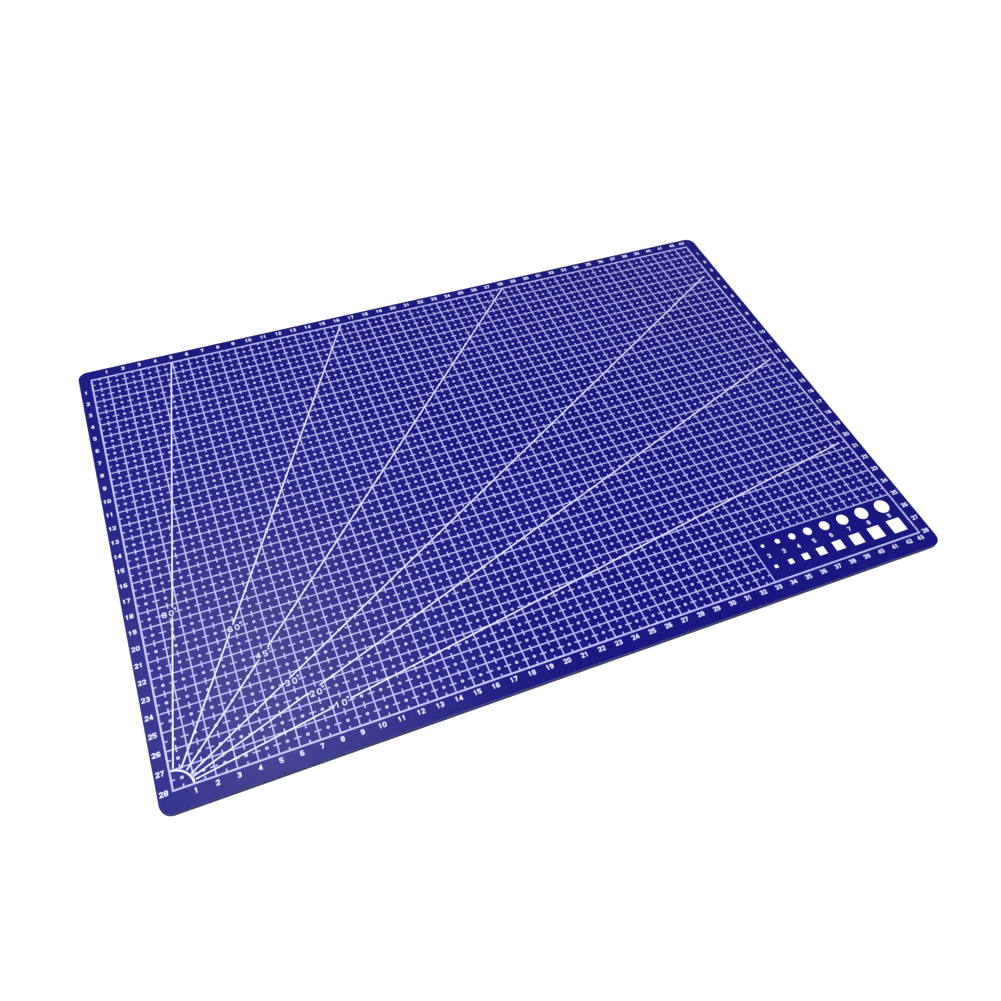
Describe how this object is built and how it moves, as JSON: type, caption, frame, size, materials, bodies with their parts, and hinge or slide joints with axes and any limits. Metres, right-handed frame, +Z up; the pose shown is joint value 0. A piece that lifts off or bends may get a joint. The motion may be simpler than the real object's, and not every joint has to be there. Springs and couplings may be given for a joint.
{
  "type": "self healing cutting mat",
  "caption": "Thin flat rectangular self healing cutting mat with rounded corners, printed with a centimetre grid, edge scales, angle lines and a hole size gauge.",
  "frame": {"origin": "middle of the underside, where the mat lies on the table", "axes": "+X along the long side towards the corner with the hole gauge, +Y away from the user along the short side, +Z up through the printed face"},
  "size_m": [0.446, 0.299, 0.003],
  "materials": {
    "skin_sheet": "satin, very finely grained royal blue soft PVC",
    "core_sheet": "plain blue stiff PVC, seen only as a thin band on the cut rim",
    "ruling_ink": "matt pale lavender screen ink",
    "numeral_ink": "matt off-white screen ink",
    "gauge_ink": "matt solid white screen ink"
  },
  "bodies": {
    "root": {"bottom_sheet": "skin_sheet", "core_sheet": "core_sheet", "top_sheet": "skin_sheet", "border_line": "ruling_ink", "crosswise_grid_lines": "ruling_ink", "lengthwise_grid_lines": "ruling_ink", "border_half_cm_ticks": "ruling_ink", "square_centre_dots": "ruling_ink", "angle_lines": "numeral_ink", "origin_arc": "numeral_ink", "angle_labels": "numeral_ink", "front_scale_numbers": "numeral_ink", "back_scale_numbers": "numeral_ink", "left_scale_numbers": "numeral_ink", "right_scale_numbers": "numeral_ink", "circle_gauge": "gauge_ink", "square_gauge": "gauge_ink", "gauge_numbers": "numeral_ink"}
  },
  "joints": []
}
